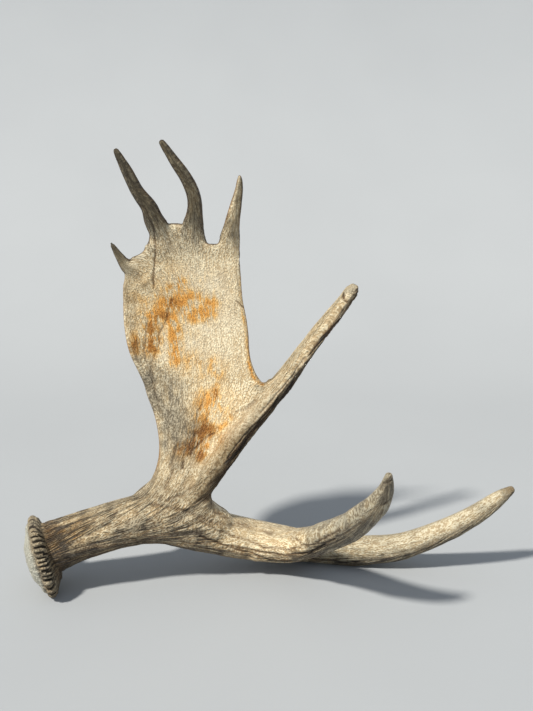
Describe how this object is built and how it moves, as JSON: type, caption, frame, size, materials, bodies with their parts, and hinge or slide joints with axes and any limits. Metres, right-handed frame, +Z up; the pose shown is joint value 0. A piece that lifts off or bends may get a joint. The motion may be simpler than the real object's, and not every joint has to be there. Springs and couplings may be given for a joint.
{
  "type": "moose antler",
  "caption": "Shed moose antler: knobbly burr and ridged beam forking into curved brow tines and a flat cupped palm edged with points.",
  "frame": {"origin": "middle of the antler's bounding box, on the floor it stands on", "axes": "+Z up, +X from the burr towards the brow tines, +Y away from the hollow side of the palm"},
  "size_m": [0.5386, 0.1982, 0.4904],
  "materials": {
    "beam_bone": "weathered antler bone, ridged and rough, brown-olive",
    "palm_bone": "weathered antler bone, dry and matt, cream with brown flecks and rust stains",
    "tine_bone": "weathered antler bone, smooth grey-tan upper side, dark grooved underside"
  },
  "bodies": {
    "root": {"beam": "beam_bone", "palm": "palm_bone", "lateral_tine": "palm_bone", "brow_branch": "beam_bone", "front_brow_tine": "tine_bone", "back_brow_tine": "tine_bone"}
  },
  "joints": []
}
